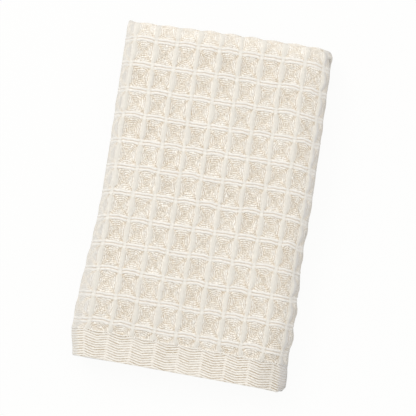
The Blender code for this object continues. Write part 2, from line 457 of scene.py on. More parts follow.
def rib_swell(columns, rows):
    """How much the rib at each cell's left swells, about 1, and 0 for the last rib."""
    own_share = scatter(np.floor(columns) + SWELL_SEED, np.floor(rows))
    return (LEAST_SWELL + SWELL_RANGE * own_share) * (columns < LAST_RIB)


def waffle_height(columns, rows):
    """How far the show side lies above (or, mostly, below) the tops of its ribs."""
    column, row = np.floor(columns), np.floor(rows)
    in_column, in_row = within(columns), within(rows)
    from_rib = from_whole(columns) * CELL_ACROSS
    from_strands = from_whole(rows) * CELL_ALONG
    own_depth = PIT_DEPTH * (1 + DEPTH_RANGE * (scatter(column, row) - 0.5))
    bowl = rise(from_rib, *BOWL_ACROSS) * rise(from_strands, *BOWL_ALONG)
    own_bulge = RIB_BULGE * rib_swell(columns, rows) * (in_column < 0.5) * arch(rows)
    half_width = RIB_HALF + own_bulge - LAST_RIB_THINNER * (columns > LAST_RIB)
    pinch = fade(from_strands, PINCH_REACH)
    rib = crown(from_rib, half_width * (1 - PINCH_WIDTH * pinch)) ** RIB_SHAPE
    rib *= 1 - PINCH_HEIGHT * pinch
    own_bend = STRAND_BEND * (LEAST_BEND + scatter(column, row + BEND_SEED))
    bend = own_bend * (in_row > 0.5) * rise(in_column, BEND_START, 1) ** BEND_SHAPE
    strand = crown(from_strands - STRAND_PLACE - bend, STRAND_HALF + BEND_WIDENS * bend)
    strand = STRAND_HEIGHT * strand ** STRAND_SHAPE * rise(from_rib, *STRAND_START)
    return RIB_CROWN * (np.maximum(rib, strand) - 1) - own_depth * bowl


print("rib and pit, in mm:", round(RIB_CROWN / MM, 2), round(PIT_DEPTH / MM, 2))

# %% [markdown]
# ## The hems
# Each end of the cloth finishes in a flat woven band, turned and stitched. It has no cells, so it
# doesn't draw in as the waffle does, and its own ribs stand a tenth further apart. It lies a
# little lower than the ribs, and its outer edge is a soft turn.

# %% Relief of the hems
HEM_LEVEL = 0.42 * MM
HEM_RIB_PITCH = 11.45 * MM
HEM_FIRST_RIB = FIRST_RIB - 0.8 * MM
HEM_RIB_HALF = 0.7 * MM
HEM_RIB_CROWN = 0.05 * MM
STITCH_PLACE = 13.3 * MM
STITCH_HALF = 0.8 * MM
STITCH_CROWN = 0.2 * MM
EDGE_TURN = 0.7 * MM
EDGE_DRAW = 0.4 * MM


def hem_height(x, distance):
    """How far the hem's show side lies below the tops of the waffle's ribs."""
    from_rib = from_whole((x - HEM_FIRST_RIB) / HEM_RIB_PITCH) * HEM_RIB_PITCH
    rib = HEM_RIB_CROWN * crown(from_rib, HEM_RIB_HALF)
    return rib + STITCH_CROWN * crown(distance - STITCH_PLACE, STITCH_HALF) - HEM_LEVEL


def edge_round(distance):
    """How far each side of the cloth draws in towards its middle at an edge."""
    return EDGE_DRAW * (1 - crown(np.maximum(EDGE_TURN - distance, 0), EDGE_TURN))


print("hem ribs across:", round(PANEL_WIDTH / HEM_RIB_PITCH, 1))

# %% [markdown]
# ## The relief on the folds
# Round a fold the cloth is pulled flatter from side to side, so its relief is weaker there, and
# each cell puffs outwards instead, by its own amount, on the right most of all near the hems.
# That gives the folded edges their soft scallops. The thirds that lie inside are pressed flat.
# The sum of all of it becomes a depth: how far below the outermost surface each point lies, on
# the show side and on the back.

# %% Relief of the folds
PUFF = 0.5 * MM
LEAST_PUFF = 0.4
LEFT_PUFF = 1.3
RIGHT_PUFF = 1.6
RIGHT_HEM_PUFF = 1.2
RIGHT_HEM_ROWS = (97 * MM, 58 * MM)
PUFF_LEVEL = 0.6
FAR_CELL_PUFF, FAR_PUFF_RANGE, PUFF_SEED = 1.0, 0.6, 3
FOLD_LEVEL = 0.1 * MM
HIDDEN_LEVEL = 0.3 * MM
HIDDEN_PART = (5 * MM, 11 * MM)
SIDE_FOLD = (-0.5 * MM, 2.0 * MM)
FAR_FOLD = math.pi * FAR_RADIUS / 2
FAR_FOLD_REACH = 15 * MM
SIDE_FLATTER = 0.35
FAR_FLATTER = 0.45
BAND_TOP = HEM_LENGTH + 0.9 * MM
INTO_HEM = (BAND_TOP + 0.4 * MM, BAND_TOP - 1.2 * MM)

past_panel = np.abs(flat_x) - PANEL_WIDTH / 2
in_hem = rise(from_hem, *INTO_HEM)
hidden = rise(past_panel, *HIDDEN_PART)
on_side_fold = rise(past_panel, *SIDE_FOLD)
on_far_fold = fade(np.abs(flat_y - FAR_FOLD), FAR_FOLD_REACH)
relief = waffle_height(cells_x - RIB_LEAN / CELL_ACROSS, cells_y)
relief *= (1 - FAR_FLATTER * on_far_fold) * (1 - SIDE_FLATTER * on_side_fold) * (1 - hidden)
right_puff = RIGHT_PUFF + RIGHT_HEM_PUFF * rise(from_hem, *RIGHT_HEM_ROWS)
side_puff = PUFF * (LEAST_PUFF + scatter(np.floor(cells_y), np.sign(flat_x)))
side_puff *= np.where(flat_x > 0, right_puff, LEFT_PUFF) * (arch(cells_y) - PUFF_LEVEL)
relief += on_side_fold * (1 - hidden) * (side_puff - FOLD_LEVEL) - HIDDEN_LEVEL * hidden
own_share = scatter(np.floor(cells_x), np.floor(cells_x) + PUFF_SEED)
far_puff = PUFF * (FAR_CELL_PUFF + FAR_PUFF_RANGE * own_share) * arch(cells_x) + FOLD_LEVEL
relief += far_puff * on_far_fold * (1 - on_side_fold)
relief = relief * (1 - in_hem) + hem_height(flat_x, from_hem) * in_hem
relief -= edge_round(from_hem)
on_show_side = flat_z > -0.5 * BACK_DEPTH
depth = np.where(on_show_side, -relief, BACK_DEPTH - edge_round(from_hem))
print("deepest pit, in mm:", round(-relief.min() / MM, 2))

# %% [markdown]
# ## Folding
# A fold is a half circle. Points before it stay, points on it turn by how far round they are, and
# points past it come back the other way underneath. Depth in the cloth is measured towards the
# fold's centre, so the layers stay parallel. The thirds are folded first, and the far half then
# takes the whole pack of three layers round with it. A hand doesn't fold tightly everywhere: on
# the right of the upper half, and on the left near the hems, a little more cloth goes round than
# the fold needs, so it stands out further. That is slack, and not stretch, so the cells keep
# their size.

# %% Fold in thirds, then in half
RIGHT_SLACK = 1.7 * MM
RIGHT_SLACK_ROWS = (10 * MM, -10 * MM)
LEFT_SLACK = 2.9 * MM
SLACK_ROUND = 0.54
SPREAD_RUN = 70 * MM


def fold_thirds(x, slack, inward):
    """(x, depth) once the side thirds are folded under, each fold wider by its slack."""
    side = np.where(x > 0, 1.0, -1.0)
    radius = np.where(x > 0, RIGHT_RADIUS, LEFT_RADIUS)
    past = np.abs(x) - PANEL_WIDTH / 2
    turn_radius = radius + SLACK_ROUND * slack
    angle = np.clip(past / turn_radius, 0, math.pi)
    beyond = np.maximum(past - math.pi * turn_radius, 0)
    reach = np.minimum(np.abs(x), PANEL_WIDTH / 2) - beyond
    reach += (radius + slack - inward) * np.sin(angle)
    return side * reach, radius - (radius - inward) * np.cos(angle)


def fold_half(y, inward):
    """(y, z) once the far half is folded under, counting y from the far fold."""
    angle = np.clip(y / FAR_RADIUS, 0, math.pi)
    beyond = np.maximum(y - math.pi * FAR_RADIUS, 0)
    reach = np.minimum(y, 0) + (FAR_RADIUS - inward) * np.sin(angle) - beyond
    return reach, FAR_RADIUS + (FAR_RADIUS - inward) * np.cos(angle)


slack = RIGHT_SLACK * (flat_x > 0) * rise(flat_y, *RIGHT_SLACK_ROWS)
slack += LEFT_SLACK * (flat_x < 0) * fade(from_hem - HEM_LENGTH, SPREAD_RUN)
folded_x, pack_depth = fold_thirds(flat_x, slack, depth)
folded_y, z = fold_half(flat_y, pack_depth)
x = folded_x + (LEFT_RADIUS - RIGHT_RADIUS) / 2
y = folded_y + LENGTH / 2 - FAR_RADIUS
print("neatly folded, in mm:", round(np.ptp(x) / MM, 1), round(np.ptp(y) / MM, 1))

# %% [markdown]
# ## Settling
# No cloth stays as neat as that. The lower half has slid a little to the right, and the hems
# spread because they are wider than the waffle. The right side draws in a little along the nearer
# part, most of all half way and just before the hems. The hem lies askew, the inner hems have
# slipped back, and each corner has its own way to end. Every layer moves by one smooth rule, so
# none can pass through another.

# %% Settle: sideways and along
LOWER_SHIFT = 2.3 * MM
SHIFT_BAND = 0.26
SIDE_REACH = 9 * MM
LEFT_SPREAD, RIGHT_SPREAD = 0.3 * MM, 0.6 * MM
NARROWED = 0.35 * MM
NARROWED_PART = (45 * MM, 25 * MM)
WAISTS = [
    # place along, reach, and how far the right side draws in
    (-LENGTH / 2 + HEM_LENGTH + 2.5 * MM, 8 * MM, 0.8 * MM),
    (-20 * MM, 28 * MM, 0.85 * MM),
]
SWAY = 0.35 * MM
HEM_SKEW = 1.4 * MM
SKEW_RUN = 90 * MM
INNER_HEMS_BACK = 1.6 * MM
LEFT_HOLD, RIGHT_HOLD = 0.8, 0.7
DROP_RUN = 34 * MM
FAR_PUFF = 0.6 * MM
FAR_LEFT_BACK = 0.9 * MM
FAR_REACH = 14 * MM
CORNERS = [
    # name, side, end, and in mm: reach across, reach along, move across, move along, and how
    # much further along the lower half moves
    ("far left, peaked", -1, 1, 3.4, 9.0, 0.0, 3.0, 0.0),
    ("far right, rounded", 1, 1, 5.5, 11.0, -0.2, -0.8, 1.4),
    ("far right, stepped", 1, 1, 3.4, 9.0, 0.0, -1.3, 0.0),
    ("hem left, pulled in", -1, -1, 9.0, 13.0, 2.2, 0.0, 0.0),
    ("hem right, turned in", 1, -1, 2.4, 4.0, -0.6, 1.5, 1.2),
]

to_hem = y + LENGTH / 2
off_centre = x / (WIDTH / 2)
at_hem = fade(to_hem, DROP_RUN)
right_side = fade(WIDTH / 2 - x, SIDE_REACH)
left_side = fade(WIDTH / 2 + x, SIDE_REACH)
spread = RIGHT_SPREAD * right_side - LEFT_SPREAD * left_side
lower = smooth(0.5 + (0.5 - z / HEIGHT) / SHIFT_BAND)
move_x = LOWER_SHIFT * (lower - 0.5) + spread * fade(to_hem - HEM_LENGTH, SPREAD_RUN)
move_x += SWAY * np.cos(2 * math.pi * y / LENGTH)
narrowed = NARROWED * rise(y, *NARROWED_PART)
for place, reach, most in WAISTS:
    narrowed += most * fade(np.abs(y - place), reach)
move_x -= narrowed * right_side
move_y = -HEM_SKEW * off_centre * fade(to_hem, SKEW_RUN)
held = (1 - LEFT_HOLD * left_side) * (1 - RIGHT_HOLD * right_side)
move_y += INNER_HEMS_BACK * np.sin(math.pi * z / HEIGHT) * held * at_hem
far_move = FAR_PUFF - FAR_LEFT_BACK * smooth(-off_centre)
move_y += far_move * fade(LENGTH / 2 - y, FAR_REACH)
for _name, side, end, *sizes in CORNERS:
    reach_x, reach_y, by_x, by_y, lower_by_y = np.array(sizes) * MM
    near = fade(WIDTH / 2 - side * x, reach_x) * fade(LENGTH / 2 - end * y, reach_y)
    move_x += by_x * near
    move_y += (by_y + lower_by_y * lower) * near
print("largest moves, in mm:", [round(np.abs(move).max() / MM, 1) for move in (move_x, move_y)])

# %% [markdown]
# ## Setting it down
# The pack is fuller in its middle than at its ends. It is lower at the hems, where no cells hold
# the layers apart, and along the right side, where the fold is tight. Last, it is moved to the
# frame's middle and set down.

# %% Settle: up and down
CROWN = 0.05
SHOULDER = 0.09
SHOULDER_REACH = 15 * MM
HEM_DROP = 0.15
MOVE_TO_MIDDLE = Vector((1.469 * MM, 0.146 * MM))

fuller = CROWN * np.cos(math.pi * x / WIDTH) * np.cos(math.pi * y / LENGTH)
shoulder = SHOULDER * fade(WIDTH / 2 - x, SHOULDER_REACH) * (1 + at_hem)
settled_z = z * (1 + fuller - shoulder - HEM_DROP * at_hem)
settled = np.stack((x + move_x, y + move_y, settled_z), axis=1)
settled[:, :2] += MOVE_TO_MIDDLE
settled[:, 2] -= settled[:, 2].min()
cloth.data.vertices.foreach_set("co", settled.ravel())
cloth.data.update()
print("settled, in mm:", [round(side / MM, 1) for side in np.ptp(settled, axis=0)])

# %% [markdown]
# ## Maps for the finish
# The finish has to follow the cloth, not the room, so it reads UV maps that were laid out before
# the cloth was folded. One counts waffle cells, one says how much the rib of each cell swells and
# how deep its pit is, and one counts the hem's ribs across and its lines from the edge.

# %% UV maps
HEM_LINE_PITCH = 1.19 * MM
corner_vertex = np.empty(len(cloth.data.loops), dtype=int)
cloth.data.loops.foreach_get("vertex_index", corner_vertex)


def uv_map(name, first, second):
    """A UV map that gives each point these two numbers."""
    layer = cloth.data.uv_layers.new(name=name)
    layer.data.foreach_set("uv", np.stack((first, second), axis=1)[corner_vertex].ravel())


while cloth.data.uv_layers:
    cloth.data.uv_layers.remove(cloth.data.uv_layers[0])
uv_map("cells", cells_x, cells_y)
uv_map("own_cell", rib_swell(cells_x, cells_y), scatter(np.floor(cells_x), np.floor(cells_y)))
uv_map("hem_lines", (flat_x - HEM_FIRST_RIB) / HEM_RIB_PITCH, from_hem / HEM_LINE_PITCH)
print("UV maps:", [layer.name for layer in cloth.data.uv_layers])

# %% [markdown]
# ## Sums in nodes
# A pattern in nodes is a chain of small sums. These helpers add a node, set its inputs from
# numbers or from other nodes' sockets, and hand back its output, so a chain reads like a
# formula. A socket knows its own tree, so the new node goes there.

# %% Node helpers: sums
def feed(value, socket):
    """Sets a socket to a number or colour, or links it to another node's output."""
    if isinstance(value, bpy.types.NodeSocket):
        socket.id_data.links.new(value, socket)
    else:
        socket.default_value = value


def add_node(kind, inputs, **settings):
    """A new node in the tree that its inputs come from, with its settings and inputs set."""
    sockets = [value for value in inputs.values() if isinstance(value, bpy.types.NodeSocket)]
    node = sockets[0].id_data.nodes.new("ShaderNode" + kind)
    for name, setting in settings.items():
        setattr(node, name, setting)
    for name, value in inputs.items():
        feed(value, node.inputs[name])
    return node


def calc(operation, *values):
    """A Math node's result."""
    return add_node("Math", dict(enumerate(values)), operation=operation).outputs[0]


def product(first, *others):
    """All of these multiplied together."""
    for other in others:
        first = calc("MULTIPLY", first, other)
    return first


def add_share(base, mask, amount):
    """base, and amount more where the mask is 1."""
    return calc("MULTIPLY_ADD", mask, amount, base)


def lessen(mask, amount=1.0):
    """1 where the mask is 0, and less by amount where it is 1."""
    return calc("MULTIPLY_ADD", mask, -amount, 1.0)


def apart(first, second):
    """How far two numbers are apart."""
    return calc("ABSOLUTE", calc("SUBTRACT", first, second))

# %% [markdown]
# ## Patterns in nodes
# Most patterns are masks: numbers from 0 to 1 that say how much of something a place has. A ramp
# makes one from any number, and a colour is mixed by one. A pattern that both finishes need is
# built once, as a group.

# %% Node helpers: patterns
def ramp(value, start, end, low=0.0, high=1.0):
    """low where value is before start, high past end, and an S between them."""
    inputs = {"Value": value, "From Min": start, "From Max": end, "To Min": low, "To Max": high}
    return add_node("MapRange", inputs, interpolation_type="SMOOTHSTEP").outputs["Result"]


def mix(share, first, second):
    """A colour between two, all the second where share is 1."""
    return add_node("Mix", {0: share, 6: first, 7: second}, data_type="RGBA").outputs[2]


def noise(vector, scale, detail=2.0):
    """A noise texture's grey value, about 0.5 on average."""
    inputs = {"Vector": vector, "Scale": scale, "Detail": detail}
    return add_node("TexNoise", inputs).outputs["Fac"]


def from_line(count):
    """How far a count is from the nearest whole number, 0 on it and 1 half way."""
    centred = calc("MULTIPLY_ADD", calc("FRACT", count), 2.0, -1.0)
    return calc("SUBTRACT", 1.0, calc("ABSOLUTE", centred))


def new_group(name, inputs, outputs):
    """A shader node group with these sockets, each a (name, kind, default) row."""
    group = bpy.data.node_groups.new(name, "ShaderNodeTree")
    for title, kind, default in inputs:
        socket = group.interface.new_socket(title, in_out="INPUT", socket_type=kind)
        if default is not None:
            socket.default_value = default
    for title, kind in outputs:
        group.interface.new_socket(title, in_out="OUTPUT", socket_type=kind)
    return group, group.nodes.new("NodeGroupInput"), group.nodes.new("NodeGroupOutput")

# %% [markdown]
# ## Cotton
# Both finishes on this cloth are the same undyed cotton: short fibres stand off every thread and
# blur it, and the thread is a little thicker and a little browner here and there. So both use
# one group. It takes a colour and a painted shade to darken it by, and gives back the colour with
# the fibres in it, and their height.

# %% Group: cotton fibre
VALUE, VECTOR, COLOUR = "NodeSocketFloat", "NodeSocketVector", "NodeSocketColor"
FIBRES = [
    # name, noise scale, its detail, and the tone it gives: the least, and how much more
    ("slub", 700, 2, 0.93, 0.14),
    ("fuzz", 2600, 3, 0.95, 0.10),
    ("patch", 38, 2, 0.98, 0.04),
]
fibre, fibre_in, fibre_out = new_group(
    "cotton fibre",
    [("Vector", VECTOR, None), ("Colour", COLOUR, (0.9, 0.87, 0.8, 1)),
     ("Painted Shade", VALUE, 1.0), ("Fuzz", VALUE, 0.05)],
    [("Colour", COLOUR), ("Height", VALUE)],
)
tone_with_painted_shade = fibre_in.outputs["Painted Shade"]
for name, scale, detail, least, more in FIBRES:
    grain = noise(fibre_in.outputs["Vector"], scale, detail)
    tone_with_painted_shade = product(tone_with_painted_shade, add_share(least, grain, more))
    if name == "fuzz":
        fuzz_height = product(grain, fibre_in.outputs["Fuzz"])
toned = {"Vector": fibre_in.outputs["Colour"], "Scale": tone_with_painted_shade}
toned = add_node("VectorMath", toned, operation="SCALE").outputs["Vector"]
feed(toned, fibre_out.inputs["Colour"])
feed(fuzz_height, fibre_out.inputs["Height"])
print("nodes in the group:", len(fibre.nodes))

# %% [markdown]
# ## Colours
# Undyed cotton is one colour, but it doesn't look like one. A thread's crown is nearly white, the
# gap beside it is brown because light gets lost in it, and the tight ribs look greyer than the
# open floats. The gaps' brown, like the groove's and the pits' warm tint, is painted shade. Cloth
# on a fold has its weave pulled shut, and its grey there is painted shade: greyest where it
# starts to turn down on the right, paler again where it has turned, which is painted light, and
# grey along the left side too. The finish mixes these colours.

# %% Colours of the cotton
RIB_COLOUR = (0.712, 0.682, 0.622, 1)
STRAND_COLOUR = (0.825, 0.797, 0.747, 1)
THREAD_COLOUR = (0.942, 0.914, 0.853, 1)
# Painted shade: the gap, groove and pit colours darken the recesses; the gap colour also tints
# the fine streaks.
GAP_SHADE_AND_STREAK_COLOUR = (0.57, 0.453, 0.315, 1)
GROOVE_SHADE_COLOUR = (0.62, 0.46, 0.29, 1)
PIT_WARM_SHADE_COLOUR = (0.89, 0.83, 0.73, 1)
# Painted shade on the folds and along the left side, and painted light where the right fold has
# turned.
FOLD_PAINTED_SHADE_COLOUR = (0.67, 0.655, 0.62, 1)
LEFT_SIDE_PAINTED_SHADE_COLOUR = (0.72, 0.712, 0.692, 1)
RIGHT_FOLD_PAINTED_SHADE_COLOUR = (0.655, 0.638, 0.616, 1)
TURNED_PAINTED_LIGHT_COLOUR = (0.73, 0.713, 0.675, 1)
HEM_COLOUR = (0.865, 0.825, 0.755, 1)
HEM_LINE_COLOUR = (0.48, 0.36, 0.22, 1)
print("palest and darkest:", THREAD_COLOUR[:3], HEM_LINE_COLOUR[:3])

# %% [markdown]
# ## Tools for both finishes
# Both finishes start as a matt material with a faint sheen, and end with the cotton's fibres
# laid over a colour and a height. In between they read a UV map, give every thread a random
# number of its own, and lay colours and dents on top of each other.

# %% Tools for both finishes
def uv(tree, name):
    """The two numbers of a UV map, and the map itself as a vector."""
    source = tree.nodes.new("ShaderNodeUVMap")
    source.uv_map = name
    split = add_node("SeparateXYZ", {"Vector": source.outputs["UV"]})
    return split.outputs["X"], split.outputs["Y"], source.outputs["UV"]


def vector(*values):
    """A vector of three numbers."""
    return add_node("CombineXYZ", dict(enumerate(values))).outputs["Vector"]


def own_number(*values):
    """A random number from 0 to 1, the same wherever all of these whole numbers are."""
    node = add_node("TexWhiteNoise", {"Vector": vector(*values)}, noise_dimensions="3D")
    return node.outputs["Value"]


def lay_colours(colour, rows):
    """A colour with others laid over it, each by its mask and its share."""
    for mask, share, over in rows:
        colour = mix(product(mask, share), colour, over)
    return colour


def sum_up(start, rows):
    """A number, and each row's amount more where its mask is 1."""
    for mask, amount in rows:
        start = add_share(start, mask, amount)
    return start


def fabric(name):
    """A matt material, its node tree, its shader and its object coordinates."""
    material, shader = new_material(name, {
        "Roughness": 0.95,
        "Specular IOR Level": 0.15,
        "Sheen Weight": 0.1,
        "Sheen Roughness": 0.6,
    })
    tree = material.node_tree
    return material, tree, shader, tree.nodes.new("ShaderNodeTexCoord").outputs["Object"]


def finish(shader, place, colour, tone_with_painted_shade, height, fuzz_height):
    """Adds the cotton's fibres to a colour, its painted shade and a height in mm, and wires the
    shader.
    """
    inputs = {"Vector": place, "Colour": colour, "Painted Shade": tone_with_painted_shade, "Fuzz": fuzz_height}
    cotton = add_node("Group", inputs, node_tree=fibre).outputs
    inputs = {"Strength": 1.0, "Distance": MM, "Height": calc("ADD", height, cotton["Height"])}
    feed(cotton["Colour"], shader.inputs["Base Color"])
    feed(add_node("Bump", inputs).outputs["Normal"], shader.inputs["Normal"])

# %% [markdown]
# ## The waffle's threads
# Inside each pit the floats get shorter row by row: level ones fill the sectors at its ends,
# upright ones those at its sides, and they meet on two diagonals, half a thread out of step. So
# the thread that a point lies on is found by counting from the pit's middle, up or down in the
# end sectors and sideways in the others. Noise bends the count, because no float lies straight.
# Along its run each thread dives under its neighbours every millimetre or so, and each stretch
# between two dives gets its own tone. All of it reads the cell count, so it stays on the cloth.

# %% Material: waffle cotton, its threads
THREADS = 6.9
STRAY_SCALE, STRAY_ACROSS = 7.0, 0.09
FINE_STRAY_SCALE, STRAY_ALONG = 560, 0.035
DIAGONAL_TILT, DIAGONAL_STRAY = 1.12, 0.3
SQUARENESS = 4.5
OUT_OF_STEP = 0.5
THREAD_WAVES = [(4.2, 1.6), (15.0, 0.65)]
LEVEL_SEED = 37.0
DIVES, DIVES_OUT_OF_STEP = 7.5, 5.0
LUMP_SCALE, LUMPS = 1000, (0.38, 0.62)

waffle, tree, shader, place = fabric("waffle_cotton")
cell_x, cell_y, cells = uv(tree, "cells")
stray_x = calc("SUBTRACT", noise(cells, STRAY_SCALE), 0.5)
stray_y = calc("SUBTRACT", noise(place, FINE_STRAY_SCALE), 0.5)
in_x = from_line(add_share(cell_x, stray_x, STRAY_ACROSS))
in_y = from_line(add_share(cell_y, stray_y, STRAY_ALONG))
out_x, out_y = lessen(in_x), lessen(in_y)
tilted = add_share(product(out_y, DIAGONAL_TILT), stray_x, DIAGONAL_STRAY)
level = calc("GREATER_THAN", tilted, out_x)
powers = [calc("POWER", out, SQUARENESS) for out in (out_x, out_y)]
outer = calc("POWER", calc("ADD", *powers), 1 / SQUARENESS)
count = add_share(product(level, OUT_OF_STEP), outer, THREADS)
for scale, size in THREAD_WAVES:
    count = add_share(count, noise(cells, scale, 1), size)
sector = add_share(calc("FLOOR", count), level, LEVEL_SEED)
half_x = calc("FLOOR", product(cell_x, 2.0))
half_y = calc("FLOOR", product(cell_y, 2.0))
own = own_number(half_x, half_y, sector)
beside = add_share(product(level, cell_x), lessen(level), cell_y)
crossing = add_share(product(own, DIVES_OUT_OF_STEP), beside, DIVES)
dash = own_number(half_x, sector, calc("FLOOR", crossing))
lump = ramp(noise(place, LUMP_SCALE, 1), *LUMPS)
print("threads from a pit's middle to its rib:", THREADS)

# %% [markdown]
# ## Where the weave is tight
# A pit's threads lie loosely, and those on its ribs and strands lie tightly. A rib is broadest
# half way between its crossings, where it bulges to the right as its shape does. The cloth is
# tighter on the side folds too, most of all on the left one, and a little tighter in the far
# row, which is pulled over the far fold.

# %% Material: waffle cotton, where it is tight
# Pairs are where a change starts and ends: in a cell, from 0 on a rib to 1 in a pit's middle,
# and over the cloth, in cells.
RIB_EDGE, RIB_WIDENS = (0.085, 0.18), (0.08, 0.5)
BULGE, BULGE_GROWS = 0.12, (0.1, 0.7)
RIB_BLUR = (-0.07, 0.09)
OFF_STRANDS = (0.17, 0.26)
HEM_SLACK, HEM_SLACK_ROWS = 0.22, (-6.5, -11.0)
ON_LEFT, ON_RIGHT, BESIDE_LEFT = (-0.06, -0.2), (8.98, 9.06), (-0.04, -0.16)
FOLD_TIGHTER, BESIDE_TIGHTER = 0.4, 0.3
FAR_ROW, FAR_ROW_OPEN = (-0.3, 0.5), 0.8

own_swell, own_depth, _ = uv(tree, "own_cell")
right_of_rib = calc("LESS_THAN", calc("FRACT", cell_x), 0.5)
bulge = product(ramp(in_y, *BULGE_GROWS, 0.0, BULGE), right_of_rib, own_swell)
rib_edge = calc("ADD", ramp(in_y, *RIB_WIDENS, *RIB_EDGE), bulge)
off_rib = ramp(calc("SUBTRACT", in_x, rib_edge), *RIB_BLUR)
loose = calc("MINIMUM", off_rib, ramp(in_y, *OFF_STRANDS))
hem_slack = ramp(cell_y, *HEM_SLACK_ROWS, 0.0, HEM_SLACK)
on_left = ramp(calc("ADD", cell_x, hem_slack), *ON_LEFT)
on_right = ramp(cell_x, *ON_RIGHT)
on_fold = calc("MAXIMUM", on_left, on_right)
left_side = ramp(cell_x, *BESIDE_LEFT)
far_row = ramp(cell_y, *FAR_ROW, 1.0, FAR_ROW_OPEN)
open_weave = product(loose, lessen(on_fold, FOLD_TIGHTER), far_row,
                     lessen(left_side, BESIDE_TIGHTER))
print("nodes so far:", len(tree.nodes))

# %% [markdown]
# ## The waffle's masks
# Five masks show where the light gets lost: the gaps between the threads, the dives under them,
# the warm places of a pit, which are its diagonals and its middle, the thin groove between the
# two strands, and the dip where the strands pass below a rib. On the ribs and strands the threads
# lie side by side, so only fine streaks show there, lengthwise on each.

# %% Material: waffle cotton, its masks
GAP_EDGE, DIVE_EDGE = (0.65, 0.1), (0.4, 0.05)
DIAGONAL_EDGE, DIAGONAL_WARMTH = (0.34, 0.0), 0.85
MIDDLE_EDGE, MIDDLE_WARMTH = (0.55, 0.05), 0.7
GROOVE_EDGE, GROOVE_START, GROOVE_SHUT = (0.050, 0.012), (0.12, 0.24), 0.5
DIP_PLACE, DIP_ACROSS, DIP_ALONG = 0.19, (0.08, 0.02), (0.20, 0.06)
STRAND_MASK, STRAND_ENDS, CROSSING_PAINTED_LIGHT = (0.27, 0.20), (0.18, 0.34), 0.55
RIGHT_STRAND_REACH = 0.15
RIB_STREAKS, STRAND_STREAKS, STREAK_EDGE = (55.0, 7.0), (7.0, 70.0), (0.62, 0.35)

gap = product(ramp(from_line(count), *GAP_EDGE), open_weave)
under = product(ramp(from_line(crossing), *DIVE_EDGE), open_weave)
diagonal = ramp(apart(out_x, out_y), *DIAGONAL_EDGE)
middle = ramp(outer, *MIDDLE_EDGE, 0.0, MIDDLE_WARMTH)
warm_painted_shade = product(calc("MAXIMUM", product(diagonal, DIAGONAL_WARMTH), middle), open_weave)
groove = product(ramp(in_y, *GROOVE_EDGE), ramp(in_x, *GROOVE_START))
groove = product(groove, lessen(on_fold, GROOVE_SHUT))
dip = product(ramp(apart(in_x, DIP_PLACE), *DIP_ACROSS), ramp(in_y, *DIP_ALONG))
dip = product(dip, lessen(on_fold))
# At a crossing the strands' paler colour still reaches over the pinched rib: painted light.
strand_end = add_share(in_x, on_right, RIGHT_STRAND_REACH)
strand_end = ramp(strand_end, *STRAND_ENDS, CROSSING_PAINTED_LIGHT, 1.0)
strand = product(ramp(in_y, *STRAND_MASK), strand_end)
streaks = []
for across_cell, along_cell in (RIB_STREAKS, STRAND_STREAKS):
    stretched = vector(product(cell_x, across_cell), product(cell_y, along_cell), 0.0)
    streaks.append(noise(stretched, 1.0, 1))
streak = add_share(product(streaks[0], lessen(strand)), streaks[1], strand)
streak = product(ramp(streak, *STREAK_EDGE), lessen(loose))
print("nodes so far:", len(tree.nodes))

# %% [markdown]
# ## How much painted shade each place has
# The masks alone would make every gap alike. Each thread is darker or paler as a whole, and so is
# each stretch of it and each pit. The threads' and the stretches' own tones are the cotton's;
# each pit is darker the deeper it is, which is painted shade. To the right of a pit's middle the
# light falls in, so its gaps are fainter there, which is painted light, but its corners are a
# little darker, and so is its rim beside the rib, which is painted shade. All of it adds up to
# one number, the shade, which says how much of the gaps' brown, mostly painted shade, a place
# has.

# %% Material: waffle cotton, its shade
LEAST_GAP, OWN_GAP = 0.18, 0.5
DIVE_SHADE, DASH_SHADE, LUMP_SHADE = 0.12, 0.19, 0.15
DEEP_PIT_PAINTED_SHADE = 0.07
RIGHT_PART, RIGHT_PAINTED_LIGHT = (0.5, 0.75), 0.18
CORNER_EDGE, CORNER_PAINTED_SHADE = (0.45, 0.7), 0.15
RIM_EDGE, RIM_PAINTED_SHADE, RIGHT_RIM_PAINTED_SHADE = (0.55, 0.8), 0.01, 0.09

# Painted shade: the gaps, the dives, deeper pits, the corners and the rim beside the rib. Painted
# light: fainter gaps in a pit's right part. Each thread's and stretch's own tone, and the lumps,
# are the cotton's.
patchy = add_share(product(dash, DASH_SHADE), lump, LUMP_SHADE)
deep_pit_painted_shade = add_share(-DEEP_PIT_PAINTED_SHADE / 2, own_depth, DEEP_PIT_PAINTED_SHADE)
shade = sum_up(product(gap, add_share(LEAST_GAP, own, OWN_GAP)), [
    (under, DIVE_SHADE),
    (calc("ADD", patchy, deep_pit_painted_shade), open_weave),
])
right_part = ramp(calc("FRACT", cell_x), *RIGHT_PART)
shade = product(shade, lessen(right_part, RIGHT_PAINTED_LIGHT))
corner = product(diagonal, ramp(outer, *CORNER_EDGE), right_part, open_weave)
rim = product(ramp(out_x, *RIM_EDGE), open_weave)
shade = sum_up(shade, [
    (corner, CORNER_PAINTED_SHADE),
    (rim, add_share(RIM_PAINTED_SHADE, right_part, RIGHT_RIM_PAINTED_SHADE)),
])
print("nodes so far:", len(tree.nodes))

# %% [markdown]
# ## The waffle's colour and height
# The masks now lay one colour over another, from the broadest to the finest: rib or thread, then
# the folds' painted shade and painted light, the strands, the warm places' painted shade, and
# last the streaks, the gaps, the dips and the groove; all of these browns but the streaks' are
# painted shade. The same masks make a height in millimetres, so that each gap is a real dent in
# the light.
# Last comes the tone, a painted shade: the cloth is a little darker along its right side, where
# it starts to turn down, more so towards the hems, and a little darker along its left side.

